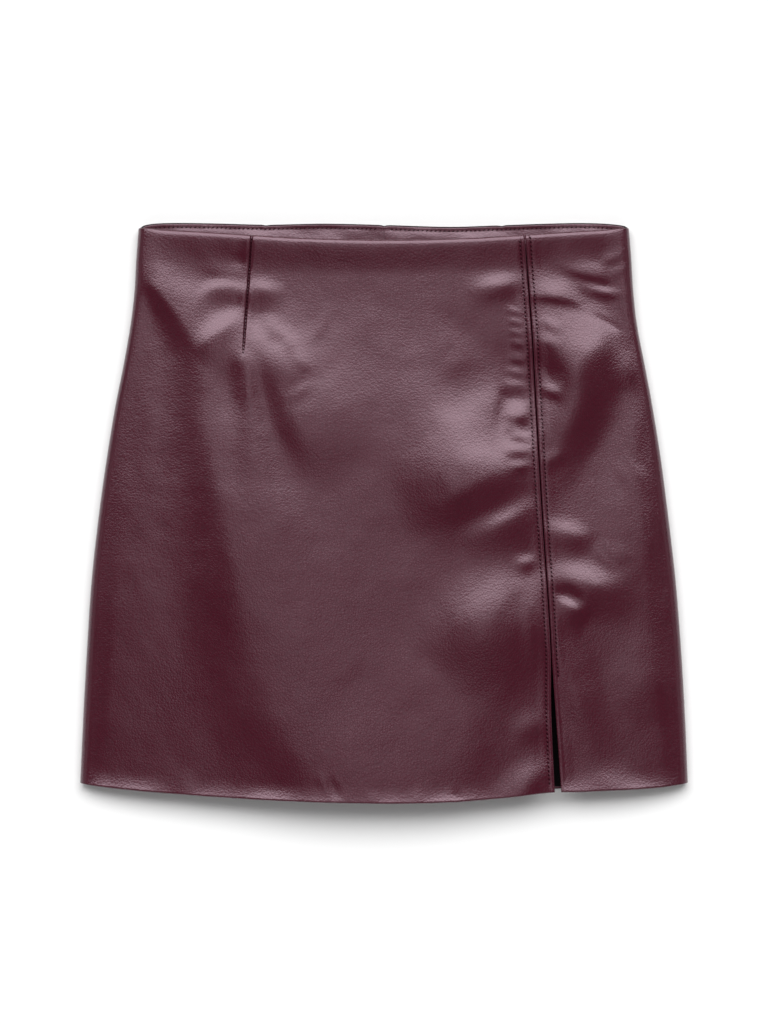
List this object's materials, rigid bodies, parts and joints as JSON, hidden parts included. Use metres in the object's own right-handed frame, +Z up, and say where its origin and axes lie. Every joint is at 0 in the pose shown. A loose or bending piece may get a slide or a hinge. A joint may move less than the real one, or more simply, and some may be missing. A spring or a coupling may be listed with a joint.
{
  "type": "leather skirt",
  "caption": "A-line mini skirt in burgundy leather, laid flat with its front up: waist dart, lengthwise seam that opens into a hem slit, back waist facing and concealed back zip",
  "frame": {"origin": "the middle of the skirt's bounding box, on the surface that it lies on", "axes": "+X runs across the skirt towards the narrow side panel, +Y from the hem to the waist, +Z up from the surface through the front"},
  "size_m": [0.4561, 0.4348, 0.0319],
  "materials": {
    "leather": "satin, fine grain",
    "zip": "matte woven tape"
  },
  "bodies": {
    "root": {"front_main_panel": "leather", "front_side_panel": "leather", "back_left_panel": "leather", "back_right_panel": "leather", "back_facing_left": "leather", "back_facing_right": "leather", "zip_tape": "zip"}
  },
  "joints": []
}
